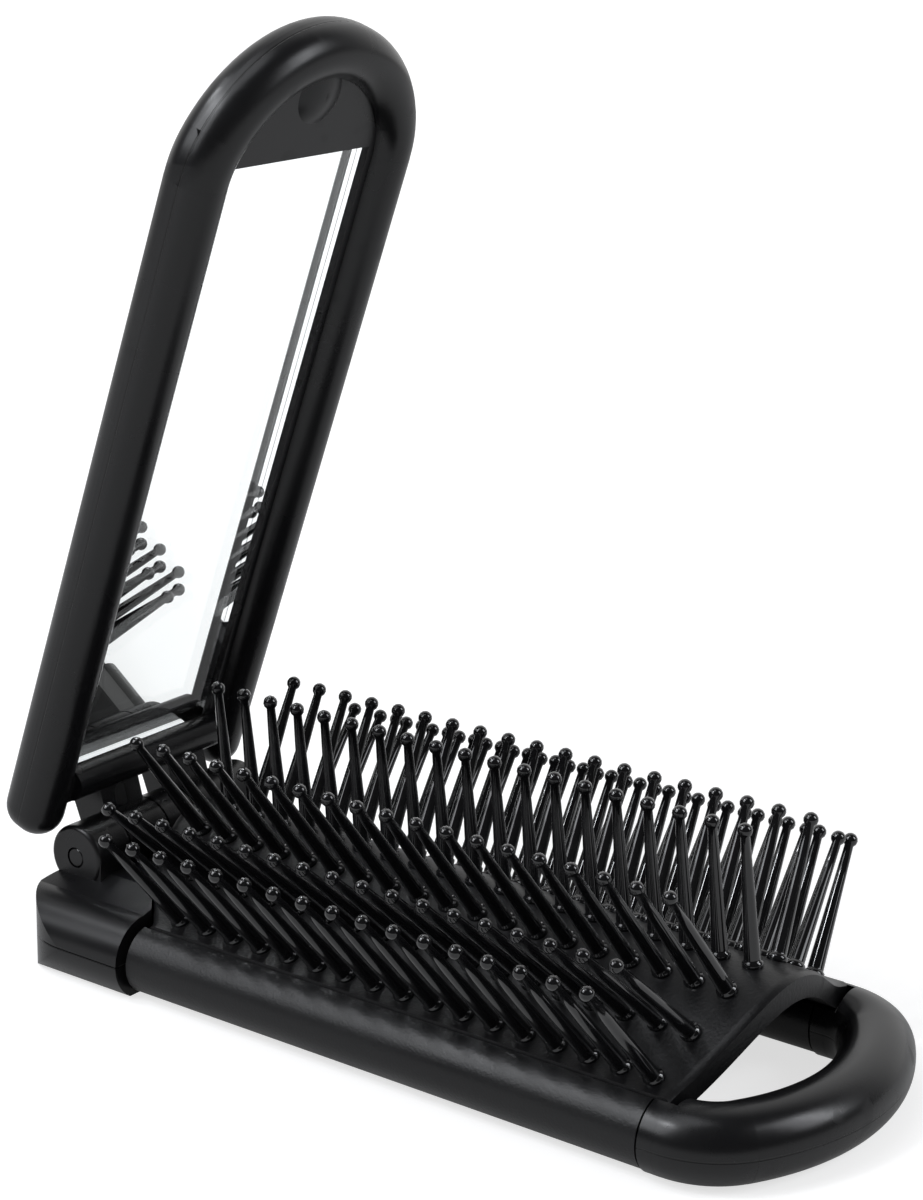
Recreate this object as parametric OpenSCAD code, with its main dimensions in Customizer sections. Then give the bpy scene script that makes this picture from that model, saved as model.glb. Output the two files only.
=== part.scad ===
// Pocket hairbrush that folds shut under a mirror lid.
// The origin is on the ground under the hinge axis. X runs to the finger loop, Z is up.

/* [Base] */
// Distance from the centre plane to each rail's axis
rail_y = 17.15; // [16:0.05:18.5]
// Height of the rail axes above the ground
rail_z = 4.2; // [4.1:0.05:4.4]
// Radius of the turning rails
rail_r = 4.05; // [3.8:0.05:4.1]
// Where the rails start, in front of the hinge block
rail_start = 13.7; // [13.5:0.1:14.2]
// Where the rails end, at the finger loop
rail_end = 82.3; // [80:0.1:84]
// Radius of the steel rods that the rails turn on
rod_r = 1.35; // [1.1:0.05:1.6]

/* [Finger loop] */
// How far the loop's centre line runs past its straight legs
loop_reach = 9.95; // [9:0.05:12]
// Corner radius of the loop's centre line
loop_corner = 7; // [6:0.1:8]

/* [Hinge block] */
// Rear face of the block
block_rear = -4; // [-4.4:0.1:-3.8]
// Front face of the block
block_front = 12.9; // [12.6:0.1:13.1]
// Wall around the rail ends
ring_wall = 0.85; // [0.7:0.05:1.1]
// Height of the block's raised middle
block_top = 10.5; // [10:0.1:10.8]
// Wall thickness of the block
block_wall = 1.2; // [1:0.1:1.5]
// Height of the hinge axis
hinge_z = 12.1; // [12:0.05:12.4]
// Radius of the hinge barrels
barrel_r = 3.85; // [3.6:0.05:3.9]
// Radius of the hinge pin
pin_r = 1.2; // [1:0.05:1.4]

/* [Bristles] */
// Height of the pad's crest
pad_crest = 16.4; // [15.5:0.1:17]
// Thickness of the flexible pad
pad_t = 2.9; // [2.4:0.1:3.1]
// Rear end of the pad on the centre plane
pad_back = 5.9; // [5.5:0.1:7]
// How far the pad's rear edge comes forward at its sides
pad_back_bow = 8.5; // [7:0.1:9]
// Front end of the pad at its sides
pad_nose = 83; // [80:0.1:83.4]
// How far the pad's front edge reaches forward on the centre plane
pad_nose_bow = 4.6; // [3:0.1:4.8]
// Distance between neighbouring pins of a row
pin_pitch = 3.98; // [3.9:0.01:4.1]
// Distance from a middle pin's base to the middle of its tip
pin_len = 14.7; // [13:0.1:15.5]
// Distance from the last pin of a row to the pad's rear edge
pin_margin = 3.9; // [3.5:0.1:5]
// Radius of a pin's foot
foot_r = 1.15; // [1:0.01:1.3]
// Radius of a pin just above its foot
shaft_r = 0.74; // [0.6:0.01:0.85]
// Radius of a pin's neck
neck_r = 0.47; // [0.4:0.01:0.6]
// Radius of a pin's rounded tip
tip_r = 0.83; // [0.7:0.01:0.9]

/* [Lid] */
// Angle of the open lid above the base
lid_angle = 71.2; // [60:0.1:90]
// Distance from the centre plane to the middle of the lid's rim
rim_v = 15.6; // [15.2:0.1:16]
// Half width of the rim
rim_r = 3.09; // [2.9:0.01:3.2]
// Distance from the hinge axis to the start of the rounded end
rim_straight = 83.4; // [80:0.1:85]
// How far the end of the rim's centre line runs past its straight sides
rim_reach = 13.6; // [13:0.1:14.4]
// Depth of the front wall below the lid's own origin plane
wall_low = 5.6; // [4.6:0.1:5.7]
// Radius of the raised dot on the end wall
dot_r = 3.45; // [2.8:0.05:3.8]
// Height of the raised dot
dot_high = 0.9; // [0.6:0.1:1.2]
// Thickness of the mirror glass
glass_t = 1.9; // [1.5:0.1:2.1]
// Length of the mirror that shows
glass_len = 77.1; // [74:0.1:77.5]

/* [Fits] */
// Radial clearance of a turning shaft
run_fit = 0.05; // [0.03:0.01:0.08]
// Gap between parts that are fixed together
seat_gap = 0.02; // [0.01:0.01:0.05]
// Gap between the hinge barrels along the axis
side_gap = 0.3; // [0.2:0.05:0.4]

/* [Hidden] */
$fn = 64;
loop_r = rail_z;
leg_x = 84.3;
ring_r = rail_r + ring_wall;
bore_r = rod_r + run_fit;
// three arcs that meet smoothly make the loop's centre line
side_c = rail_y - loop_corner;
arc_big = (loop_reach * loop_reach + side_c * side_c - loop_corner * loop_corner)
    / (2 * (loop_reach - loop_corner));
arc_turn = atan2(side_c, arc_big - loop_reach);
// the same for the lid's rim
rim_corner = 10.4;
rim_side = rim_v - rim_corner;
rim_big = (rim_reach * rim_reach + rim_side * rim_side - rim_corner * rim_corner)
    / (2 * (rim_reach - rim_corner));
rim_turn = atan2(rim_side, rim_big - rim_reach);
// the corner arcs are a hair slimmer and lap into their neighbours
arc_lap = 0.6;
arc_step = 0.012;
rabbet_z = rail_z + 2.6;
rabbet_y = rail_y + 0.85;
arch_base = 8.25;
arch_half = 20.5;
seam_v = 6.5;
rim_low = 6.38;
rim_high = 7.26;
rim_end = 3.4;
glass_v = 6.39;
glass_half = 11.65;
bar_start = 4.6;
bar_low = 4.3;
dot_x = 92.2;
dot_ball = (pow(dot_r, 2) + pow(dot_high, 2)) / (2 * dot_high);
window_half = 11.35;
window_start = 7.67;
window_end = window_start + glass_len;
tape_t = 0.3;
lug_in = 2.6;
lug_out = 9.4;
knuckle_out = 14.75;
cam_in = 11.1;
cam_out = 13.9;
screw_x = 7.4;
screw_y = 4.6;

// height of the arched pad's top at a distance from the centre plane
function arch(y) = arch_base
    + (pad_crest - arch_base) * (1 + cos(180 * abs(y) / arch_half)) / 2;
function arch_under(y) = max(arch(y) - pad_t, rabbet_z + seat_gap);
function side_share(y) = pow(min(abs(y), rail_y) / rail_y, 2);
function pad_rear(y) = pad_back + pad_back_bow * side_share(y);
function pad_front(y) = pad_nose + pad_nose_bow * (1 - side_share(y));

// bends a rotation about the hinge axis onto a shape drawn in the lid's flat frame
module on_lid() {
    translate([0, 0, hinge_z]) rotate([0, -lid_angle, 0]) children();
}
// a profile drawn in Y and Z, pushed along X
module along_x(x0, x1) {
    translate([x0, 0, 0]) rotate([90, 0, 90]) linear_extrude(x1 - x0) children();
}
// a profile drawn in X and Z, pushed along Y
module along_y(y0, y1) {
    translate([0, y1, 0]) rotate([90, 0, 0]) linear_extrude(y1 - y0) children();
}
module rod_hole(side, x0, x1, r) {
    translate([x0, side * rail_y, rail_z]) rotate([0, 90, 0]) cylinder(r = r, h = x1 - x0);
}

// ---- finger loop ----
// half of the round tube section
module half_tube(up, r) {
    difference() {
        circle(r = r);
        translate([-10, up > 0 ? -20 : 0]) square([20, 20]);
    }
}
module loop_half(up) {
    translate([leg_x + loop_reach - arc_big, 0, rail_z])
        rotate([0, 0, -arc_turn])
        rotate_extrude(angle = 2 * arc_turn, $fn = 160)
        translate([arc_big, 0]) half_tube(up, loop_r);
    for (s = [-1, 1])
        translate([leg_x, s * side_c, rail_z])
        rotate([0, 0, (s > 0 ? arc_turn : -90) - arc_lap])
        rotate_extrude(angle = 90 - arc_turn + 2 * arc_lap, $fn = 120)
        translate([loop_corner, 0]) half_tube(up, loop_r - arc_step);
    for (s = [-1, 1])
        translate([0, s * rail_y, rail_z]) along_x(rail_end + side_gap, leg_x)
        half_tube(up, loop_r);
}
module loop_upper() color("dimgray") {
    difference() {
        loop_half(1);
        for (s = [-1, 1]) rod_hole(s, 80, 88, rod_r + seat_gap);
        // the pad's front corners lie in a step of the loop
        translate([80, -rabbet_y, rabbet_z]) cube([5.2, 2 * rabbet_y, 10]);
    }
}
module loop_lower() color("dimgray") {
    difference() {
        loop_half(-1);
        for (s = [-1, 1]) rod_hole(s, 80, 88, rod_r + seat_gap);
    }
}

// ---- hinge block ----
module block_section() {
    intersection() {
        union() {
            for (s = [-1, 1])
                translate([s * rail_y, rail_z]) circle(r = ring_r);
            polygon([[-rail_y, 0], [rail_y, 0], [rail_y, rail_z + ring_r],
                [13, block_top], [-13, block_top], [-rail_y, rail_z + ring_r]]);
        }
        translate([-30, 0]) square([60, 30]);
    }
}
module block_side() {
    // seen from the side, with rounded rear edges
    translate([block_rear, 2.6]) square([block_front - block_rear, 4.8]);
    translate([block_rear + 2.6, 0]) square([block_front - block_rear - 2.6, 5]);
    translate([block_rear + 2.6, 2.6]) circle(r = 2.6);
    translate([block_rear + 3, 7.4]) circle(r = 3);
    translate([block_rear + 3, 0]) square([block_front - block_rear - 4.2, 20]);
    translate([block_front - 1.2, 0]) square([1.2, 9.3]);
    translate([block_front - 1.2, 9.3]) circle(r = 1.2);
}
module block_plan() {
    r = 8;
    w = rail_y + ring_r + 1;
    for (s = [-1, 1])
        translate([block_rear + r, s * (w - 1 - r)]) circle(r = r, $fn = 96);
    translate([block_rear, -(w - 1 - r)]) square([30, 2 * (w - 1 - r)]);
    translate([block_rear + r, -w]) square([30, 2 * w]);
}
module block_body() {
    intersection() {
        along_x(block_rear, block_front) block_section();
        along_y(-30, 30) block_side();
        linear_extrude(20) block_plan();
    }
}
module block_room() {
    // room for the cranks and for the posts of the screws
    for (s = [-1, 1])
        translate([-1.6, s > 0 ? 9.4 : -19.4, block_wall]) cube([13.1, 10, 6.4]);
    difference() {
        translate([0.4, -9.5, block_wall]) cube([11.1, 19, 5.2]);
        for (s = [-1, 1])
            translate([screw_x, s * screw_y, 0]) cylinder(r = 2.3, h = 20);
    }
}
module crank_holes() {
    for (s = [-1, 1]) {
        rod_hole(s, 8, 14, 2.4);
        rod_hole(s, -2.6, 1, rod_r + seat_gap);
    }
}
module knuckle(y0, y1, outer) {
    // a hinge barrel; the outer one of each side has a front that runs down into the block
    soft = 0.55;
    translate([0, y0, hinge_z]) rotate([-90, 0, 0])
        rotate_extrude($fn = 72) {
            square([barrel_r, y1 - y0 - (outer ? soft : 0)]);
            if (outer) square([barrel_r - soft, y1 - y0]);
            if (outer)
                intersection() {
                    translate([barrel_r - soft, y1 - y0 - soft]) circle(r = soft);
                    square([10, 40]);
                }
        }
    if (outer) translate([0, y0, 7]) cube([barrel_r - 0.06, y1 - y0 - 0.2, hinge_z - 7]);
}
module pad_room() {
    // the hollow in the block's top that the pad's rear end lies in
    ys = [for (i = [0 : 32]) -17.6 + 1.1 * i];
    intersection() {
        along_x(0, 40)
            polygon(concat([for (y = ys) [y, arch_under(y) - 0.25]],
                [[17.6, 30], [-17.6, 30]]));
        linear_extrude(40)
            polygon(concat([for (y = ys) [pad_rear(y) - 0.3, y]],
                [[40, 17.6], [40, -17.6]]));
    }
}
module hinge_block_top() color("dimgray") {
    difference() {
        union() {
            intersection() {
                block_body();
                translate([-10, -30, rail_z]) cube([40, 60, 30]);
            }
            knuckle(-lug_in + side_gap, lug_in - side_gap, false);
            knuckle(lug_out, knuckle_out, true);
            mirror([0, 1, 0]) knuckle(lug_out, knuckle_out, true);
        }
        block_room();
        crank_holes();
        pad_room();
        // pockets that the lid's lugs turn in
        for (s = [-1, 1]) {
            y0 = s > 0 ? lug_in - side_gap : -lug_out;
            translate([0, y0, hinge_z]) rotate([-90, 0, 0])
                cylinder(r = barrel_r + 0.4, h = lug_out - lug_in + side_gap);
            translate([-6, y0, 7]) cube([6, lug_out - lug_in + side_gap, 20]);
            // pockets of the cams, open down to the cranks
            yc = s > 0 ? cam_in - 0.15 : -cam_out - 0.15;
            translate([0, yc, hinge_z]) rotate([-90, 0, 0])
                cylinder(r = 2.9, h = cam_out - cam_in + 0.3);
            translate([-1.6, yc, 6]) cube([3.2, cam_out - cam_in + 0.3, 6]);
            translate([-1.6, s > 0 ? cam_in : -14.6, 6])
                cube([3.2, 14.6 - cam_in, 3.6]);
            translate([-1.6, s > 0 ? cam_in : -15.9, 6])
                cube([3.2, 15.9 - cam_in, 2.3]);
        }
        translate([0, -30, hinge_z]) rotate([-90, 0, 0])
            cylinder(r = pin_r + run_fit, h = 60);
        for (s = [-1, 1])
            translate([screw_x, s * screw_y, 0]) cylinder(r = 0.9 + seat_gap, h = 8);
        // fine groove of the parting line
        difference() {
            translate([-10, -30, rail_z - 0.1]) cube([60, 60, 0.22]);
            translate([block_rear + 0.45, -21.5, 0]) cube([40, 43, 20]);
        }
    }
}
module hinge_block_bottom() color("dimgray") {
    difference() {
        intersection() {
            block_body();
            translate([-10, -30, -1]) cube([40, 60, rail_z + 1]);
        }
        block_room();
        crank_holes();
        for (s = [-1, 1])
            translate([screw_x, s * screw_y, -1]) {
                cylinder(r = 0.9 + seat_gap, h = 10);
                cylinder(r = 2 + seat_gap, h = 2.6);
            }
    }
}
module block_screws() color("silver") {
    for (s = [-1, 1])
        translate([screw_x, s * screw_y, 0.4])
        difference() {
            union() {
                cylinder(r = 2, h = 1.2);
                cylinder(r = 0.9, h = 7.2);
            }
            translate([0, 0, 0.3]) cube([2.4, 0.5, 1], center = true);
            translate([0, 0, 0.3]) cube([0.5, 2.4, 1], center = true);
        }
}

// ---- rods, rails and cranks ----
module rail_rod(s) color("silver") rod_hole(s, -2.4, 87.8, rod_r);
module rail_section() {
    difference() {
        circle(r = rail_r, $fn = 96);
        circle(r = bore_r);
        translate([-0.85, 2.6]) square([10, 10]);
    }
}
module rail(s) color("dimgray") {
    translate([0, s * rail_y, rail_z])
        mirror([0, s > 0 ? 1 : 0, 0])
        along_x(rail_start, rail_end) rail_section();
}
module rail_crank(s) color("gray") {
    translate([0, s * rail_y, rail_z])
        mirror([0, s > 0 ? 1 : 0, 0]) {
            along_x(1.2, rail_start - seat_gap)
                difference() {
                    circle(r = 2.2);
                    circle(r = bore_r);
                }
            along_x(-1.1, 1.25)
                difference() {
                    union() {
                        circle(r = 2.2);
                        polygon([[-0.6, 1.9], [1.9, -0.6], [4.9, 4], [4, 4.9]]);
                        translate([4.3, 4.3]) circle(r = 0.75);
                    }
                    circle(r = bore_r);
                }
        }
}
module hinge_pin() color("silver") {
    long = 2 * knuckle_out - 0.1;
    translate([0, -long / 2, hinge_z]) rotate([-90, 0, 0])
        rotate_extrude()
        polygon([[0, 0], [pin_r - 0.2, 0], [pin_r, 0.2], [pin_r, long - 0.2],
            [pin_r - 0.2, long], [0, long]]);
}
module drive_cam(s) color("gray") {
    translate([0, s > 0 ? cam_in : -cam_out, hinge_z]) rotate([-90, 0, 0])
        difference() {
            translate([0.6, 0, 0]) cylinder(r = 2, h = cam_out - cam_in);
            translate([0, 0, -1]) cylinder(r = pin_r + seat_gap, h = 10);
        }
}

// ---- flexible pad and its pins ----
// rows from the right side to the left, as shares of the rails' distance and of a pin
row_y = [for (t = [-0.927, -0.6, -0.286, 0, 0.286, 0.6, 0.927]) t * rail_y];
row_len = [for (t = [1.095, 1.09, 1.066, 1, 1.066, 1.09, 1.095]) t * pin_len];
// lean of each row to its side, and of all pins to the rear
row_turn = [-39.2, -46.8, -35.3, 0, 35.3, 46.8, 39.2];
rear_lean = 6.6;
// distance of each row's first pin from the pad's front edge
row_front = [for (t = [0.65, 1.06, 1.16, 1.26, 1.16, 1.06, 0.65]) t * pin_pitch];
row_x = [for (i = [0 : 6]) pad_front(row_y[i]) - row_front[i]];
row_n = [for (i = [0 : 6])
    1 + floor((row_x[i] - pad_rear(row_y[i]) - pin_margin) / pin_pitch)];
strip_half = 1.15;
strip_low = 1.3;
strip_end = 1.6;
strip_high = 0.05;
foot_deep = 0.5;

module strip_section(y0, grow) {
    // a slice of the backing, under the pad's top
    ys = [for (i = [-2 : 2]) y0 + i * (strip_half + grow) / 2];
    polygon(concat([for (y = ys) [y, arch(y) - strip_high]],
        [for (i = [4 : -1 : 0]) [ys[i], arch(ys[i]) - strip_low - grow]]));
}
module pin(long) {
    // foot, slim taper, neck and rounded tip
    rotate_extrude($fn = 5)
        polygon([[0, -foot_deep], [foot_r, -foot_deep], [shaft_r, shaft_r],
            [neck_r, long - 1.2 * tip_r], [tip_r, long - 0.15 * tip_r],
            [tip_r / 2, long + 0.86 * tip_r], [0, long + 0.86 * tip_r]]);
}
module pin_row(n) color("black") {
    i = n - 1;
    y0 = row_y[i];
    last = row_x[i] - (row_n[i] - 1) * pin_pitch;
    along_x(last - strip_end, row_x[i] + strip_end) strip_section(y0, 0);
    for (k = [0 : row_n[i] - 1])
        translate([row_x[i] - k * pin_pitch, y0, arch(y0)])
        rotate([-row_turn[i], 0, 0])
        rotate([0, -rear_lean, 0])
        pin(row_len[i]);
}
module pad_block() {
    ys = [for (i = [0 : 36]) -rabbet_y + seat_gap + i * (rabbet_y - seat_gap) / 18];
    intersection() {
        along_x(0, 90)
            polygon(concat([for (y = ys) [y, arch(y)]],
                [for (i = [36 : -1 : 0]) [ys[i], arch_under(ys[i])]]));
        linear_extrude(30)
            polygon(concat([for (y = ys) [pad_rear(y), y]],
                [for (i = [36 : -1 : 0]) [pad_front(ys[i]), ys[i]]]));
    }
}
module bristle_pad() color("black") {
    difference() {
        pad_block();
        for (i = [0 : 6])
            along_x(row_x[i] - (row_n[i] - 1) * pin_pitch - strip_end - seat_gap,
                row_x[i] + strip_end + seat_gap)
            strip_room(row_y[i]);
    }
}
module strip_room(y0) {
    // open at the top, so that the pins stand out of the pad
    ys = [for (i = [-2 : 2]) y0 + i * (strip_half + seat_gap) / 2];
    polygon(concat([for (y = ys) [y, 30]],
        [for (i = [4 : -1 : 0]) [ys[i], arch(ys[i]) - strip_low - seat_gap]]));
}

// ---- lid, drawn flat and then turned up ----
module rim_section(up, r) {
    // v outward from the middle of the rim, height away from the mirror side
    difference() {
        union() {
            translate([0, rim_low]) circle(r = r);
            translate([0, rim_high]) circle(r = r);
            translate([-r, rim_low]) square([2 * r, rim_high - rim_low]);
        }
        translate([-10, up > 0 ? seam_v - 20 : seam_v]) square([20, 20]);
    }
}
module lid_rim(up) {
    for (s = [-1, 1]) {
        translate([0, s * rim_v, 0])
            mirror([0, s > 0 ? 0 : 1, 0])
            along_x(rim_end, rim_straight) rim_section(up, rim_r);
        // rounded lower end
        translate([rim_end, s * rim_v, 0])
            rotate_extrude($fn = 72)
            intersection() {
                rim_section(up, rim_r - arc_step);
                translate([0, -1]) square([10, 20]);
            }
    }
    for (s = [-1, 1])
        translate([rim_straight, s * rim_side, 0])
        rotate([0, 0, (s > 0 ? rim_turn : -90) - arc_lap])
        rotate_extrude(angle = 90 - rim_turn + 2 * arc_lap, $fn = 140)
        translate([rim_corner, 0]) rim_section(up, rim_r - arc_step);
    translate([rim_straight + rim_reach - rim_big, 0, 0])
        rotate([0, 0, -rim_turn])
        rotate_extrude(angle = 2 * rim_turn, $fn = 200)
        translate([rim_big, 0]) rim_section(up, rim_r);
}
module lid_plan() {
    // the middle line of the rim, closed along the lower bar
    translate([bar_start, -rim_v]) square([rim_straight - bar_start, 2 * rim_v]);
    for (s = [-1, 1])
        translate([rim_straight, s * rim_side]) circle(r = rim_corner, $fn = 140);
    intersection() {
        translate([rim_straight + rim_reach - rim_big, 0]) circle(r = rim_big, $fn = 260);
        translate([rim_straight, -rim_v]) square([40, 2 * rim_v]);
        translate([rim_straight + rim_reach - rim_big, 0])
            polygon([[0, 0], [60, 60 * tan(rim_turn)], [60, -60 * tan(rim_turn)]]);
    }
}
module lug(y0, y1) {
    along_y(y0, y1) {
        circle(r = barrel_r);
        polygon([[2.2, 0.8], [7.4, 4.4], [7.4, seam_v], [2.2, seam_v],
            [-1.6, 3.2]]);
    }
}
module lid_frame() color("dimgray") on_lid() {
    difference() {
        union() {
            lid_rim(-1);
            // the front wall between the rim's sides
            intersection() {
                translate([0, 0, wall_low]) linear_extrude(seam_v - wall_low) lid_plan();
                translate([0, -30, 0]) cube([120, 60, 30]);
            }
            // the bar under the mirror stands forward
            translate([bar_start, -rim_v, bar_low])
                cube([window_start + 0.5 - bar_start, 2 * rim_v, seam_v - bar_low]);
            lug(lug_in, lug_out - side_gap);
            lug(-lug_out + side_gap, -lug_in);
            // raised dot on the end plate
            translate([dot_x, 0, wall_low - dot_high + dot_ball])
                sphere(r = dot_ball, $fn = 72);
        }
        // window with sloping walls
        along_x(window_start, window_end)
            polygon([[-12.9, 0], [12.9, 0], [window_half, glass_v],
                [window_half, 20], [-window_half, 20], [-window_half, glass_v]]);
        // the end plate lies lower than the rim
        translate([0, 0, seam_v]) linear_extrude(20) translate([-10, -30])
            square([140, 60]);
        translate([window_start - 0.4, -glass_half - seat_gap, glass_v - seat_gap])
            cube([window_end - window_start + 0.8, 2 * glass_half + 2 * seat_gap, 5]);
        translate([0, -30, 0]) rotate([-90, 0, 0])
            cylinder(r = pin_r + run_fit, h = 60);
    }
}
module lid_back_cover() color("dimgray") on_lid() {
    difference() {
        union() {
            lid_rim(1);
            translate([0, 0, seam_v]) linear_extrude(rim_high + rim_r - 0.6 - seam_v)
                lid_plan();
        }
        translate([window_start - 0.4, -glass_half - seat_gap, 0])
            cube([window_end - window_start + 0.8, 2 * glass_half + 2 * seat_gap,
                glass_v + glass_t + tape_t + seat_gap]);
    }
}
module mirror_glass() color("white") on_lid() {
    translate([window_start - 0.4 + seat_gap, -glass_half, glass_v])
        cube([window_end - window_start + 0.8 - 2 * seat_gap, 2 * glass_half, glass_t]);
}
module mirror_tape() color("gray") on_lid() {
    translate([window_start + 4, -glass_half + 2, glass_v + glass_t])
        cube([window_end - window_start - 8, 2 * glass_half - 4, tape_t]);
}

hinge_block_top();
hinge_block_bottom();
block_screws();
loop_upper();
loop_lower();
rail_rod(-1);  // right_rail_rod
rail_rod(1);  // left_rail_rod
bristle_pad();
pin_row(1);  // pin_row_1
pin_row(2);  // pin_row_2
pin_row(3);  // pin_row_3
pin_row(4);  // pin_row_4
pin_row(5);  // pin_row_5
pin_row(6);  // pin_row_6
pin_row(7);  // pin_row_7
hinge_pin();
drive_cam(-1);  // right_drive_cam
drive_cam(1);  // left_drive_cam
rail(-1);  // right_rail
rail(1);  // left_rail
rail_crank(-1);  // right_rail_crank
rail_crank(1);  // left_rail_crank
lid_frame();
lid_back_cover();
mirror_glass();
mirror_tape();
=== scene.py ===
import math

import bmesh
import bpy
from mathutils import Matrix, Vector


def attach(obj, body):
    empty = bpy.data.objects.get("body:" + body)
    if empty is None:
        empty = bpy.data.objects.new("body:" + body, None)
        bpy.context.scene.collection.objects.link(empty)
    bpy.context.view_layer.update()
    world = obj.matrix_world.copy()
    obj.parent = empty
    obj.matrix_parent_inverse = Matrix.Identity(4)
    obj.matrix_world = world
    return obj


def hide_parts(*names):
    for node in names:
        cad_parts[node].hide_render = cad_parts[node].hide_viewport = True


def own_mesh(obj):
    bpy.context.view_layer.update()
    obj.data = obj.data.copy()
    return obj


bl_info = {
    "name": "Folding hairbrush with mirror",
    "version": (1, 0, 0),
    "blender": (4, 5, 0),
    "location": "3D View > Sidebar > Hairbrush",
    "description": "Finishes a pocket hairbrush with a mirror lid around its solids",
    "category": "Object",
}

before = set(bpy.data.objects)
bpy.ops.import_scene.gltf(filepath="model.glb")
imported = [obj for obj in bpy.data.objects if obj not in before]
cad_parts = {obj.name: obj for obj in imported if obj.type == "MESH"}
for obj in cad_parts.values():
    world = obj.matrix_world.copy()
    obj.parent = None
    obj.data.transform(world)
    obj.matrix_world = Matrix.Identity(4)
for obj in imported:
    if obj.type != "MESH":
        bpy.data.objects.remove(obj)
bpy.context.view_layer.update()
# soft lamps: turn from the right side towards the loop and lift, in degrees, then
# distance, width and height in metres, and power in watts
LAMPS = (
    ("front softbox", -32, 38, 0.8, 0.42, 0.44, 2.3),
    ("front window", -28, 52, 0.8, 0.08, 0.08, 0.9),
    ("left window", -58, 52, 0.8, 0.08, 0.08, 0.9),
    ("top softbox", -30, 74, 0.8, 0.4, 0.4, 0.9),
    ("right softbox", 114, 32, 0.8, 0.3, 0.45, 1.5),
    ("right window", 118, 30, 0.7, 0.04, 0.3, 0.4),
)
LAMP_COLOUR = (0.94, 0.96, 1.0)
# share of the floor's own glow that a gloss shows
FLOOR_SHINE = 0.25
# strength of the world: as a lamp, and as a gloss shows the near room and the backdrop
SOFT_WORLD, ROOM_SHINE, BACKDROP_SHINE = 0.3, 0.05, 0.9
MM = 0.001

# sizes shared by the pieces, in millimetres, from the same plan as the solids
RAIL_Y, RAIL_Z = 17.15, 4.2
# the pad: height of its crest, thickness, and reach of its two front corners
PAD_CREST, PAD_T, CORNER_REACH = 16.4, 2.9, 1.2
ARCH_BASE, ARCH_HALF = 8.25, 20.5
RABBET_Y, RABBET_Z = RAIL_Y + 0.85, RAIL_Z + 2.6
# the pad's rear on the centre plane and how much further forward it starts at the rails, and
# its front at the rails and how much further it reaches on the centre plane
PAD_REAR, REAR_SWEEP, PAD_SIDE_FRONT, FRONT_SWEEP = 5.9, 8.5, 83, 4.6
# how far in from its rim the sheet is eased over, and by how much
RIM_WIDTH, RIM_DROP = 0.5, 0.35
PIN_PITCH = 3.98
HINGE_Z = 12.1
LID_ANGLE = math.radians(71.2)
# height of the lid's parting line over its flat plan
SEAM_W = 6.5
# the glass: height of its front face, thickness, window's start and end, edge behind the
# window's frame, and half width
GLASS_W, GLASS_T, GLASS_START, GLASS_END = 6.39, 1.9, 7.67, 84.77
GLASS_EDGE, GLASS_HALF = 0.38, 11.65
# the lid's lower bar: half length, centre along the lid and over its plan, radius, and
# the height where it meets the lid
BAR_HALF, BAR_U, BAR_W, BAR_R, BAR_FOOT = 12.9, 6.7, 4.95, 2.0, 6.3
# each row: share of the rails' distance, lean to the side, length, gap from the pad's front
PIN_ROWS = (
    (-0.927, -39.2, 1.088, 0.65),
    (-0.6, -46.8, 1.09, 1.06),
    (-0.286, -35.3, 1.066, 1.16),
    (0.0, 0.0, 1.0, 1.26),
    (0.286, 35.3, 1.066, 1.16),
    (0.6, 46.8, 1.09, 1.06),
    (0.927, 39.2, 1.088, 0.65),
)
PIN_LEN, PIN_MARGIN, REAR_LEAN = 14.7, 3.9, math.radians(6.6)
PIN_SIDES, TIP_RINGS = 14, 5

# the photograph's view: turn, lift and roll, focal length over the picture's height, and place
VIEW_TURN, VIEW_LIFT, VIEW_ROLL = 36.3, 17.01, 0.99
FOCAL_SHARE, SENSOR = 2946.48 / 1200, 36
VIEW_PLACE = (0.22450, -0.24540, 0.14178)
LAMP_AIM = Vector((0.04, 0, 0.03))
FLOOR_HALF = 3.0
# the floor's glow near the brush and further out, and the distances between which it grows
GLOW_NEAR, GLOW_FAR, GLOW_START, GLOW_END = 0.68, 0.95, 0.1, 0.7


def arch(y):
    """Height of the pad's top at a distance from the centre plane."""
    return ARCH_BASE + (PAD_CREST - ARCH_BASE) * (1 + math.cos(math.pi * abs(y) / ARCH_HALF)) / 2


def arch_under(y):
    """Height of the pad's underside there, never below the step of the rails."""
    return max(arch(y) - PAD_T, RABBET_Z + 0.04)


def side_share(y):
    """0 on the centre plane, growing to 1 at the rails."""
    return (min(abs(y), RAIL_Y) / RAIL_Y) ** 2


def pad_rear(y):
    """Where the pad starts, at a distance from the centre plane."""
    return PAD_REAR + REAR_SWEEP * side_share(y)


def pad_front(y):
    """Where the pad ends, at a distance from the centre plane."""
    return PAD_SIDE_FRONT + FRONT_SWEEP * (1 - side_share(y))


def lid_point(u, v, w):
    """A point of the lid, from its flat plan in millimetres to the frame, in metres."""
    c, s = math.cos(LID_ANGLE), math.sin(LID_ANGLE)
    return Vector((u * c - w * s, v, HINGE_Z + u * s + w * c)) * MM


# ---- shared shader effects ----


def new_group(name, inputs, outputs):
    tree = bpy.data.node_groups.new(name, "ShaderNodeTree")
    for label, kind, value in inputs:
        s = tree.interface.new_socket(label, in_out="INPUT", socket_type=kind)
        s.default_value = value
    for label, kind in outputs:
        tree.interface.new_socket(label, in_out="OUTPUT", socket_type=kind)
    return tree, tree.nodes.new("NodeGroupInput"), tree.nodes.new("NodeGroupOutput")


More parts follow.
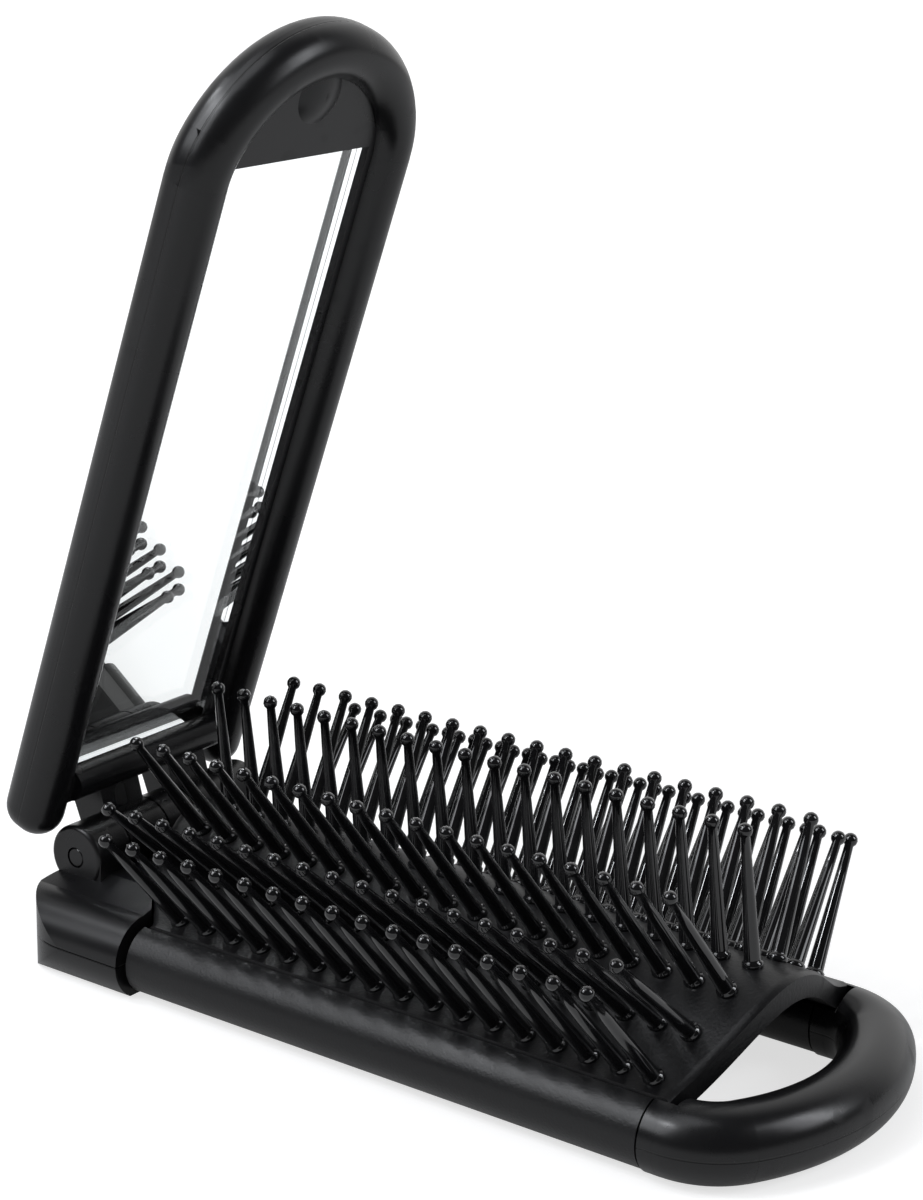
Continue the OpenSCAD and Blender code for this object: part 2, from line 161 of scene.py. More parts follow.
def grain_group():
    """Moulded grain: a fine and a coarse noise as height, and a mask of small specks."""
    name = "Moulded grain"
    if name in bpy.data.node_groups:
        return bpy.data.node_groups[name]
    tree, gin, gout = new_group(
        name,
        [
            ("Fine scale", "NodeSocketFloat", 4000.0),
            ("Coarse scale", "NodeSocketFloat", 350.0),
            ("Coarse share", "NodeSocketFloat", 0.35),
        ],
        [("Height", "NodeSocketFloat"), ("Specks", "NodeSocketFloat")],
    )
    n, k = tree.nodes, tree.links
    coord = n.new("ShaderNodeTexCoord")
    fine, coarse = n.new("ShaderNodeTexNoise"), n.new("ShaderNodeTexNoise")
    for tex, label, detail in ((fine, "Fine scale", 2.0), (coarse, "Coarse scale", 4.0)):
        k.new(coord.outputs["Object"], tex.inputs["Vector"])
        k.new(gin.outputs[label], tex.inputs["Scale"])
        tex.inputs["Detail"].default_value = detail
    mix = n.new("ShaderNodeMix")
    mix.data_type = "FLOAT"
    k.new(gin.outputs["Coarse share"], mix.inputs["Factor"])
    k.new(fine.outputs["Fac"], mix.inputs["A"])
    k.new(coarse.outputs["Fac"], mix.inputs["B"])
    k.new(mix.outputs["Result"], gout.inputs["Height"])
    ramp = n.new("ShaderNodeMapRange")
    ramp.inputs["From Min"].default_value = 0.62
    ramp.inputs["From Max"].default_value = 0.75
    k.new(coarse.outputs["Fac"], ramp.inputs["Value"])
    k.new(ramp.outputs["Result"], gout.inputs["Specks"])
    return tree


def wear_group():
    """Handling marks: soft cloudy patches and fine scratches, as two masks."""
    name = "Handling marks"
    if name in bpy.data.node_groups:
        return bpy.data.node_groups[name]
    tree, gin, gout = new_group(
        name,
        [("Patch scale", "NodeSocketFloat", 60.0), ("Scratch scale", "NodeSocketFloat", 90.0)],
        [("Patches", "NodeSocketFloat"), ("Scratches", "NodeSocketFloat")],
    )
    n, k = tree.nodes, tree.links
    coord = n.new("ShaderNodeTexCoord")
    cloud = n.new("ShaderNodeTexNoise")
    k.new(coord.outputs["Object"], cloud.inputs["Vector"])
    k.new(gin.outputs["Patch scale"], cloud.inputs["Scale"])
    cloud.inputs["Detail"].default_value = 5.0
    k.new(cloud.outputs["Fac"], gout.inputs["Patches"])
    turn = n.new("ShaderNodeMapping")
    turn.inputs["Rotation"].default_value = (0.3, 0.5, 0.7)
    turn.inputs["Scale"].default_value = (0.12, 3.0, 3.0)
    k.new(coord.outputs["Object"], turn.inputs["Vector"])
    lines = n.new("ShaderNodeTexNoise")
    k.new(turn.outputs["Vector"], lines.inputs["Vector"])
    k.new(gin.outputs["Scratch scale"], lines.inputs["Scale"])
    lines.inputs["Detail"].default_value = 1.0
    cut = n.new("ShaderNodeMapRange")
    cut.inputs["From Min"].default_value = 0.66
    cut.inputs["From Max"].default_value = 0.72
    k.new(lines.outputs["Fac"], cut.inputs["Value"])
    k.new(cut.outputs["Result"], gout.inputs["Scratches"])
    return tree


def seam_group():
    """A fine parting line: 1 on the plane at a distance along a direction, fading out each way."""
    name = "Parting line"
    if name in bpy.data.node_groups:
        return bpy.data.node_groups[name]
    tree, gin, gout = new_group(
        name,
        [
            ("Direction", "NodeSocketVector", (0.0, 0.0, 1.0)),
            ("Distance", "NodeSocketFloat", 0.0042),
            ("Half width", "NodeSocketFloat", 0.00011),
        ],
        [("Line", "NodeSocketFloat")],
    )
    n, k = tree.nodes, tree.links
    coord = n.new("ShaderNodeTexCoord")
    dot = n.new("ShaderNodeVectorMath")
    dot.operation = "DOT_PRODUCT"
    k.new(coord.outputs["Object"], dot.inputs[0])
    k.new(gin.outputs["Direction"], dot.inputs[1])
    off = n.new("ShaderNodeMath")
    off.operation = "SUBTRACT"
    k.new(dot.outputs["Value"], off.inputs[0])
    k.new(gin.outputs["Distance"], off.inputs[1])
    size = n.new("ShaderNodeMath")
    size.operation = "ABSOLUTE"
    k.new(off.outputs[0], size.inputs[0])
    share = n.new("ShaderNodeMath")
    share.operation = "DIVIDE"
    k.new(size.outputs[0], share.inputs[0])
    k.new(gin.outputs["Half width"], share.inputs[1])
    line = n.new("ShaderNodeMapRange")
    line.inputs["From Min"].default_value = 0.5
    line.inputs["From Max"].default_value = 1.0
    line.inputs["To Min"].default_value = 1.0
    line.inputs["To Max"].default_value = 0.0
    k.new(share.outputs[0], line.inputs["Value"])
    k.new(line.outputs["Result"], gout.inputs["Line"])
    return tree


def plastic(name, colour, rough, grain, fine, coarse, seam=None, coat=0.0, spec=0.42):
    """Dyed moulded plastic. grain is the height of its texture in metres, seam an optional
    (direction, distance, half width) of a parting line."""
    mat = bpy.data.materials.new(name)
    mat.use_nodes = True
    n, k = mat.node_tree.nodes, mat.node_tree.links
    shader = n["Principled BSDF"]
    shader.inputs["Specular IOR Level"].default_value = spec
    shader.inputs["Coat Weight"].default_value = coat
    shader.inputs["Coat Roughness"].default_value = 0.05
    gr = n.new("ShaderNodeGroup")
    gr.node_tree = grain_group()
    gr.inputs["Fine scale"].default_value = fine
    gr.inputs["Coarse scale"].default_value = coarse
    we = n.new("ShaderNodeGroup")
    we.node_tree = wear_group()
    tone = n.new("ShaderNodeMix")
    tone.data_type = "RGBA"
    tone.inputs["A"].default_value = (*colour, 1)
    tone.inputs["B"].default_value = (*[min(1.0, c * 1.7 + 0.004) for c in colour], 1)
    k.new(we.outputs["Patches"], tone.inputs["Factor"])
    specks = n.new("ShaderNodeMix")
    specks.data_type = "RGBA"
    specks.inputs["B"].default_value = (*[min(1.0, c * 1.4 + 0.002) for c in colour], 1)
    k.new(gr.outputs["Specks"], specks.inputs["Factor"])
    k.new(tone.outputs["Result"], specks.inputs["A"])
    colour_out = specks.outputs["Result"]
    ro = n.new("ShaderNodeMapRange")
    ro.inputs["From Min"].default_value = 0.3
    ro.inputs["From Max"].default_value = 0.7
    ro.inputs["To Min"].default_value = max(0.02, rough - 0.05)
    ro.inputs["To Max"].default_value = min(1.0, rough + 0.06)
    k.new(we.outputs["Patches"], ro.inputs["Value"])
    ro2 = n.new("ShaderNodeMath")
    ro2.operation = "MULTIPLY_ADD"
    ro2.inputs[1].default_value = 0.1
    k.new(we.outputs["Scratches"], ro2.inputs[0])
    k.new(ro.outputs["Result"], ro2.inputs[2])
    k.new(ro2.outputs[0], shader.inputs["Roughness"])
    bump = n.new("ShaderNodeBump")
    bump.inputs["Strength"].default_value = 1.0
    bump.inputs["Distance"].default_value = grain
    height = gr.outputs["Height"]
    if seam:
        se = n.new("ShaderNodeGroup")
        se.node_tree = seam_group()
        se.inputs["Direction"].default_value = seam[0]
        se.inputs["Distance"].default_value = seam[1]
        se.inputs["Half width"].default_value = seam[2]
        dark = n.new("ShaderNodeMix")
        dark.data_type = "RGBA"
        dark.inputs["B"].default_value = (0.002, 0.002, 0.002, 1)
        k.new(se.outputs["Line"], dark.inputs["Factor"])
        k.new(colour_out, dark.inputs["A"])
        colour_out = dark.outputs["Result"]
        dip = n.new("ShaderNodeMath")
        dip.operation = "MULTIPLY_ADD"
        dip.inputs[1].default_value = -8.0
        k.new(se.outputs["Line"], dip.inputs[0])
        k.new(height, dip.inputs[2])
        height = dip.outputs[0]
    k.new(height, bump.inputs["Height"])
    k.new(bump.outputs["Normal"], shader.inputs["Normal"])
    k.new(colour_out, shader.inputs["Base Color"])
    return mat


def steel(name):
    """Bare steel, a little cloudy."""
    mat = bpy.data.materials.new(name)
    mat.use_nodes = True
    n, k = mat.node_tree.nodes, mat.node_tree.links
    shader = n["Principled BSDF"]
    shader.inputs["Metallic"].default_value = 1.0
    we = n.new("ShaderNodeGroup")
    we.node_tree = wear_group()
    we.inputs["Patch scale"].default_value = 300.0
    tone = n.new("ShaderNodeMix")
    tone.data_type = "RGBA"
    tone.inputs["A"].default_value = (0.36, 0.36, 0.37, 1)
    tone.inputs["B"].default_value = (0.5, 0.5, 0.5, 1)
    k.new(we.outputs["Patches"], tone.inputs["Factor"])
    k.new(tone.outputs["Result"], shader.inputs["Base Color"])
    ro = n.new("ShaderNodeMapRange")
    ro.inputs["To Min"].default_value = 0.22
    ro.inputs["To Max"].default_value = 0.4
    k.new(we.outputs["Patches"], ro.inputs["Value"])
    k.new(ro.outputs["Result"], shader.inputs["Roughness"])
    return mat


def silver(name, tint):
    """The mirror's silvered layer, seen through the glass, with a faint haze."""
    mat = bpy.data.materials.new(name)
    mat.use_nodes = True
    n, k = mat.node_tree.nodes, mat.node_tree.links
    shader = n["Principled BSDF"]
    shader.inputs["Metallic"].default_value = 1.0
    gr = n.new("ShaderNodeGroup")
    gr.node_tree = grain_group()
    gr.inputs["Coarse scale"].default_value = 900.0
    tone = n.new("ShaderNodeMix")
    tone.data_type = "RGBA"
    tone.inputs["A"].default_value = (*tint, 1)
    tone.inputs["B"].default_value = (*[c * 0.96 for c in tint], 1)
    k.new(gr.outputs["Specks"], tone.inputs["Factor"])
    k.new(tone.outputs["Result"], shader.inputs["Base Color"])
    ro = n.new("ShaderNodeMath")
    ro.operation = "MULTIPLY_ADD"
    ro.inputs[1].default_value = 0.02
    ro.inputs[2].default_value = 0.004
    k.new(gr.outputs["Specks"], ro.inputs[0])
    k.new(ro.outputs[0], shader.inputs["Roughness"])
    return mat


def clear_glass(name):
    """Float glass, a little green in its depth, with a faint haze of specks."""
    mat = bpy.data.materials.new(name)
    mat.use_nodes = True
    n, k = mat.node_tree.nodes, mat.node_tree.links
    shader = n["Principled BSDF"]
    shader.inputs["Transmission Weight"].default_value = 1.0
    shader.inputs["IOR"].default_value = 1.52
    gr = n.new("ShaderNodeGroup")
    gr.node_tree = grain_group()
    gr.inputs["Fine scale"].default_value = 2500.0
    gr.inputs["Coarse scale"].default_value = 500.0
    tone = n.new("ShaderNodeMix")
    tone.data_type = "RGBA"
    tone.inputs["A"].default_value = (0.985, 1.0, 0.995, 1)
    tone.inputs["B"].default_value = (0.97, 0.99, 0.985, 1)
    k.new(gr.outputs["Height"], tone.inputs["Factor"])
    k.new(tone.outputs["Result"], shader.inputs["Base Color"])
    ro = n.new("ShaderNodeMath")
    ro.operation = "MULTIPLY"
    ro.inputs[1].default_value = 0.01
    k.new(gr.outputs["Specks"], ro.inputs[0])
    k.new(ro.outputs[0], shader.inputs["Roughness"])
    return mat


def painted_glow_edge(name):
    """The ground lower edge of the glass, white from a painted glow: it emits light, standing in
    for the light that runs inside the glass.
    """
    mat = plastic(name, (0.8, 0.82, 0.82), 0.6, 0.00001, 3000, 500)
    n, k = mat.node_tree.nodes, mat.node_tree.links
    shader = n["Principled BSDF"]
    gr = n.new("ShaderNodeGroup")
    gr.node_tree = grain_group()
    # painted glow: the emitted colour goes from white to grey with the grain
    tone = n.new("ShaderNodeMix")
    tone.data_type = "RGBA"
    tone.inputs["A"].default_value = (1.0, 1.0, 1.0, 1)
    tone.inputs["B"].default_value = (0.75, 0.78, 0.8, 1)
    k.new(gr.outputs["Height"], tone.inputs["Factor"])
    k.new(tone.outputs["Result"], shader.inputs["Emission Color"])
    shader.inputs["Emission Strength"].default_value = 0.85
    return mat


MATERIALS = {}


def material(key):
    """The finish of that name, made once."""
    if key in MATERIALS:
        return MATERIALS[key]
    look = bpy.context.scene.brush_look
    c = tuple(look.plastic_colour)
    lid_up = (-math.sin(LID_ANGLE), 0.0, math.cos(LID_ANGLE))
    lid_off = (HINGE_Z * math.cos(LID_ANGLE) + SEAM_W) * MM
    half = 0.00012
    made = {
        "body": lambda: plastic(
            "satin black plastic", c, look.plastic_roughness, 0.000004, 5200, 420,
            ((0, 0, 1), RAIL_Z * MM, half)),
        "lid": lambda: plastic(
            "lid plastic", c, look.plastic_roughness, 0.000004, 5200, 420,
            (lid_up, lid_off, half)),
        "rail": lambda: plastic(
            "grained rail plastic", c, look.plastic_roughness + 0.09, 0.00004, 3400, 900),
        "pad": lambda: plastic(
            "semi-gloss pad rubber", tuple(look.pad_colour), 0.36, 0.00005, 2600, 260, spec=0.34),
        "pin": lambda: plastic(
            "glossy pin nylon", tuple(look.pin_colour), look.pin_roughness, 0.000001, 6000,
            800, None, 0.6),
        "inner": lambda: plastic("inner plastic", (0.09, 0.09, 0.09), 0.5, 0.000008, 3000, 500),
        "steel": lambda: steel("plain steel"),
        "silver": lambda: silver("silvered layer", (0.93, 0.935, 0.94)),
        "glass": lambda: clear_glass("mirror glass"),
        # the ground edge of the glass gets a painted glow
        "edge": lambda: painted_glow_edge("ground glass edge with painted glow"),
        "tape": lambda: plastic("foam tape", (0.12, 0.12, 0.12), 0.85, 0.00003, 1500, 300),
    }
    MATERIALS[key] = made[key]()
    return MATERIALS[key]


def assign(obj, key):
    """Puts one finish on the whole of an object."""
    if not obj.material_slots:
        obj.data.materials.append(material(key))
    for s in obj.material_slots:
        s.material = material(key)


# ---- mesh helpers ----


def mesh_object(name, points, faces, smooth=True):
    """A new object from points in metres, with its faces turned outwards."""
    mesh = bpy.data.meshes.new(name)
    mesh.from_pydata([tuple(p) for p in points], [], faces)
    mesh.validate()
    bm = bmesh.new()
    bm.from_mesh(mesh)
    bmesh.ops.recalc_face_normals(bm, faces=bm.faces)
    bm.to_mesh(mesh)
    bm.free()
    mesh.update()
    if smooth:
        mesh.shade_smooth()
    obj = bpy.data.objects.new(name, mesh)
    bpy.context.scene.collection.objects.link(obj)
    return obj


def lathe(name, profile, sides):
    """A closed turned shape from (radius, height) pairs in metres; the ends close at a point."""
    points, faces = [(0, 0, profile[0][1])], []
    for r, z in profile:
        for i in range(sides):
            a = 2 * math.pi * i / sides
            points.append((r * math.cos(a), r * math.sin(a), z))
    points.append((0, 0, profile[-1][1]))
    last = len(points) - 1
    for i in range(sides):
        j = (i + 1) % sides
        faces.append((0, 1 + j, 1 + i))
        for m in range(len(profile) - 1):
            a, b = 1 + m * sides, 1 + (m + 1) * sides
            faces.append((a + i, a + j, b + j, b + i))
        b = 1 + (len(profile) - 1) * sides
        faces.append((last, b + i, b + j))
    return mesh_object(name, points, faces)


# ---- sizes and colours that a user would change ----


class BrushLook(bpy.types.PropertyGroup):
    plastic_colour: bpy.props.FloatVectorProperty(
        name="Plastic colour", description="Colour of the lid, base and rails",
        subtype="COLOR", size=3, min=0, max=1, default=(0.0035, 0.0035, 0.004))
    plastic_roughness: bpy.props.FloatProperty(
        name="Plastic roughness", description="Gloss of the satin plastic",
        subtype="FACTOR", min=0, max=1, default=0.27)
    pad_colour: bpy.props.FloatVectorProperty(
        name="Pad colour", description="Colour of the flexible pad",
        subtype="COLOR", size=3, min=0, max=1, default=(0.003, 0.003, 0.0035))
    pin_colour: bpy.props.FloatVectorProperty(
        name="Pin colour", description="Colour of the ball-tipped pins",
        subtype="COLOR", size=3, min=0, max=1, default=(0.0025, 0.0025, 0.003))
    pin_roughness: bpy.props.FloatProperty(
        name="Pin roughness", description="Gloss of the pins",
        subtype="FACTOR", min=0, max=1, default=0.06)


class BrushSizes(bpy.types.PropertyGroup):
    tip_radius: bpy.props.FloatProperty(
        name="Tip radius", description="Radius of a pin's rounded tip", unit="LENGTH",
        min=0.0004, max=0.0012, default=0.00083)
    neck_radius: bpy.props.FloatProperty(
        name="Neck radius", description="Radius of a pin just under its tip", unit="LENGTH",
        min=0.0002, max=0.0008, default=0.0005)
    base_radius: bpy.props.FloatProperty(
        name="Base radius", description="Radius of a pin at its base", unit="LENGTH",
        min=0.0004, max=0.0012, default=0.00092)
    silver_inset: bpy.props.FloatProperty(
        name="Silver inset", description="Clear margin of the mirror's silvered layer",
        unit="LENGTH", min=0.0, max=0.002, default=0.00005)


# ---- pieces ----


class BRUSH_OT_finishes(bpy.types.Operator):
    """Give every solid of the brush its finish"""

    bl_idname = "brush.finishes"
    bl_label = "Finish the solids"

    def execute(self, context):
        finish = {
            "hinge_block_top": "body", "hinge_block_bottom": "body",
            "loop_upper": "body", "loop_lower": "body",
            "right_rail": "rail", "left_rail": "rail",
            "right_rail_crank": "inner", "left_rail_crank": "inner",
            "right_drive_cam": "inner", "left_drive_cam": "inner",
            "right_rail_rod": "steel", "left_rail_rod": "steel",
            "hinge_pin": "body", "block_screws": "steel",
            "lid_frame": "lid", "lid_back_cover": "lid",
            "mirror_glass": "glass", "mirror_tape": "tape",
            "bristle_pad": "pad",
        }
        for node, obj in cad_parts.items():
            assign(obj, finish.get(node, "pin"))
        return {"FINISHED"}


class BRUSH_OT_pad(bpy.types.Operator):
    """Make the arched flexible pad"""

    bl_idname = "brush.pad"
    bl_label = "Arched pad"

    def execute(self, context):
        edge = RABBET_Y - 0.05
        across, along = 64, 150
        ys = [-edge + 2 * edge * i / across for i in range(across + 1)]
        top, under = [], []
        for i, y in enumerate(ys):
            x0 = pad_rear(y)
            x1 = pad_front(y) + CORNER_REACH * side_share(y) ** 3
            for j in range(along + 1):
                x = x0 + (x1 - x0) * j / along
                # the rim of the sheet is eased over
                near_rim = max(0.0, 1 - min(x - x0, x1 - x) / RIM_WIDTH)
                top.append(Vector((x, y, arch(y) - RIM_DROP * near_rim ** 2)) * MM)
                under.append(Vector((x, y, arch_under(y))) * MM)
        n, cols = len(top), along + 1
        faces = []
        for i in range(across):
            for j in range(along):
                a = i * cols + j
                faces.append((a, a + 1, a + cols + 1, a + cols))
                faces.append((n + a, n + a + cols, n + a + cols + 1, n + a + 1))
        rim = [j for j in range(along + 1)]
        rim += [i * cols + along for i in range(1, across + 1)]
        rim += [across * cols + j for j in range(along - 1, -1, -1)]
        rim += [i * cols for i in range(across - 1, 0, -1)]
        for a, b in zip(rim, rim[1:] + rim[:1]):
            faces.append((a, b, n + b, n + a))
        pad = mesh_object("arched_pad", top + under, faces)
        pad.data.set_sharp_from_angle(angle=math.radians(40))
        assign(pad, "pad")
        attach(pad, "base")
        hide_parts("bristle_pad")
        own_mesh(pad)
        return {"FINISHED"}


def row_tree():
    """Geometry Nodes: one row of pins from a count, a pitch, a start and a lean."""
    tree = bpy.data.node_groups.new("Row of pins", "GeometryNodeTree")
    face = tree.interface
    face.new_socket("Geometry", in_out="INPUT", socket_type="NodeSocketGeometry")
    for label, kind in (
        ("Pin", "NodeSocketObject"), ("Count", "NodeSocketInt"),
        ("Start", "NodeSocketVector"), ("Step", "NodeSocketVector"),
        ("Lean", "NodeSocketVector"), ("Material", "NodeSocketMaterial"),
    ):
        face.new_socket(label, in_out="INPUT", socket_type=kind)
    face.new_socket("Geometry", in_out="OUTPUT", socket_type="NodeSocketGeometry")
    n, k = tree.nodes, tree.links
    gin, gout = n.new("NodeGroupInput"), n.new("NodeGroupOutput")
    line = n.new("GeometryNodeMeshLine")
    line.mode = "OFFSET"
    k.new(gin.outputs["Count"], line.inputs["Count"])
    k.new(gin.outputs["Start"], line.inputs["Start Location"])
    k.new(gin.outputs["Step"], line.inputs["Offset"])
    info = n.new("GeometryNodeObjectInfo")
    k.new(gin.outputs["Pin"], info.inputs["Object"])
    turn = n.new("FunctionNodeAlignRotationToVector")
    turn.axis = "Z"
    k.new(gin.outputs["Lean"], turn.inputs["Vector"])
    put = n.new("GeometryNodeInstanceOnPoints")
    k.new(line.outputs["Mesh"], put.inputs["Points"])
    k.new(info.outputs["Geometry"], put.inputs["Instance"])
    k.new(turn.outputs["Rotation"], put.inputs["Rotation"])
    real = n.new("GeometryNodeRealizeInstances")
    k.new(put.outputs["Instances"], real.inputs["Geometry"])
    paint = n.new("GeometryNodeSetMaterial")
    k.new(real.outputs["Geometry"], paint.inputs["Geometry"])
    k.new(gin.outputs["Material"], paint.inputs["Material"])
    k.new(paint.outputs["Geometry"], gout.inputs["Geometry"])
    return tree


def set_input(modifier, label, value):
    """Sets a Geometry Nodes input by its name, through its socket's identifier."""
    for item in modifier.node_group.interface.items_tree:
        if item.item_type == "SOCKET" and item.in_out == "INPUT" and item.name == label:
            modifier[item.identifier] = value
            return
    raise RuntimeError("no input " + label)


def made_by(tree, name, values):
    """Runs a Geometry Nodes tree with its named inputs set and keeps the result as a mesh."""
    seed = bpy.data.objects.new(name + "_seed", bpy.data.meshes.new(name + "_seed"))
    bpy.context.scene.collection.objects.link(seed)
    mod = seed.modifiers.new("made", "NODES")
    mod.node_group = tree
    for label, value in values.items():
        set_input(mod, label, value)
    bpy.context.view_layer.update()
    graph = bpy.context.evaluated_depsgraph_get()
    mesh = bpy.data.meshes.new_from_object(seed.evaluated_get(graph))
    mesh.name = name
    bpy.data.objects.remove(seed)
    obj = bpy.data.objects.new(name, mesh)
    bpy.context.scene.collection.objects.link(obj)
    return obj


class BRUSH_OT_pins(bpy.types.Operator):
    """Make the seven fanned rows of ball-tipped pins"""

    bl_idname = "brush.pins"
    bl_label = "Rows of pins"

    def execute(self, context):
        size = context.scene.brush_sizes
        tip, neck, base = size.tip_radius, size.neck_radius, size.base_radius
        tree = row_tree()
        for i, (share, turn, share_long, gap) in enumerate(PIN_ROWS):
            y = share * RAIL_Y
            first = pad_front(y) - gap * PIN_PITCH
            count = 1 + int((first - pad_rear(y) - PIN_MARGIN) // PIN_PITCH)
            side, rise = math.sin(math.radians(turn)), math.cos(math.radians(turn))
            lean = Vector((-math.tan(REAR_LEAN), side, rise))
            long = PIN_LEN * share_long * MM
            # a collar at the foot, a tapered shank and a ball for a tip
            foot = 0.0008
            profile = [(base * 1.22, -0.0004), (base * 1.26, 0.00015), (base * 1.22, 0.0005),
                       (base * 1.02, 0.0006), (base, foot)]
            neck_top = long - math.sqrt(max(0.0, tip * tip - neck * neck))
            for t in (0.35, 0.75):
                profile.append((base + (neck - base) * t, foot + (neck_top - foot) * t))
            low = math.asin(neck / tip)
            for m in range(TIP_RINGS + 1):
                a = low + (math.pi - low) * m / TIP_RINGS * 0.93
                profile.append((tip * math.sin(a), long - tip * math.cos(a)))
            pin = lathe("pin_shape_%d" % (i + 1), profile, PIN_SIDES)
            row = made_by(tree, "pins_row_%d" % (i + 1), {
                "Pin": pin, "Count": count, "Start": Vector((first, y, arch(y))) * MM,
                "Step": Vector((-PIN_PITCH, 0, 0)) * MM, "Lean": lean,
                "Material": material("pin"),
            })
            bpy.data.objects.remove(pin)
            row.data.shade_smooth()
            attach(row, "base")
            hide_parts("pin_row_%d" % (i + 1))
            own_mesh(row)
        return {"FINISHED"}


class BRUSH_OT_lower_bar(bpy.types.Operator):
    """Make the rounded front of the lid's bar below the mirror"""

    bl_idname = "brush.lower_bar"
    bl_label = "Rounded lower bar"

    def execute(self, context):
        start = math.asin((BAR_W - BAR_FOOT) / BAR_R)
        steps = 28
        arc = [start + (math.pi - 2 * start) * i / steps for i in range(steps + 1)]
        ring = [(BAR_U + BAR_R * math.cos(a), BAR_W - BAR_R * math.sin(a)) for a in arc]
        n = len(ring)
        points = [lid_point(u, v, w) for v in (-BAR_HALF, BAR_HALF) for u, w in ring]
        faces = [tuple(range(n)), tuple(range(n, 2 * n))]
        faces += [(i, (i + 1) % n, n + (i + 1) % n, n + i) for i in range(n)]
        bar = mesh_object("lid_lower_bar", points, faces)
        bar.data.set_sharp_from_angle(angle=math.radians(40))
        assign(bar, "lid")
        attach(bar, "lid")
        return {"FINISHED"}


class BRUSH_OT_mirror_layer(bpy.types.Operator):
    """Make the silvered layer and the ground lower edge of the mirror glass"""

    bl_idname = "brush.mirror_layer"
    bl_label = "Silvered layer of the mirror"

    def execute(self, context):
        inset = context.scene.brush_sizes.silver_inset / MM
        u0, u1 = GLASS_START - GLASS_EDGE + inset, GLASS_END + GLASS_EDGE - inset
        v1 = GLASS_HALF - inset
        # the silver lies just inside the back face of the glass
        back, silver_t = GLASS_W + GLASS_T - 0.012, 0.006
        points = [lid_point(u, v, w) for w in (back - silver_t, back)
                  for u, v in ((u0, -v1), (u1, -v1), (u1, v1), (u0, v1))]
        faces = [(0, 1, 2, 3), (4, 5, 6, 7)]
        faces += [(i, (i + 1) % 4, 4 + (i + 1) % 4, 4 + i) for i in range(4)]
        layer = mesh_object("silvered_layer", points, faces, smooth=False)
        assign(layer, "silver")
        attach(layer, "lid")
        # the ground lower edge is a skin just inside the glass, and its left end stays clear
        skin, clear_end = 0.02, 2.3
        low, front, rear = GLASS_START - GLASS_EDGE + skin, GLASS_W + 0.05, back - 0.03
        points = [lid_point(u, v, w) for u in (low, low + skin)
                  for v, w in ((-v1, front), (v1 - clear_end, front),
                               (v1 - clear_end, rear), (-v1, rear))]
        # this skin carries the painted glow of the ground edge
        edge = mesh_object("ground_lower_edge", points, faces, smooth=False)
        assign(edge, "edge")
        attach(edge, "lid")
        return {"FINISHED"}


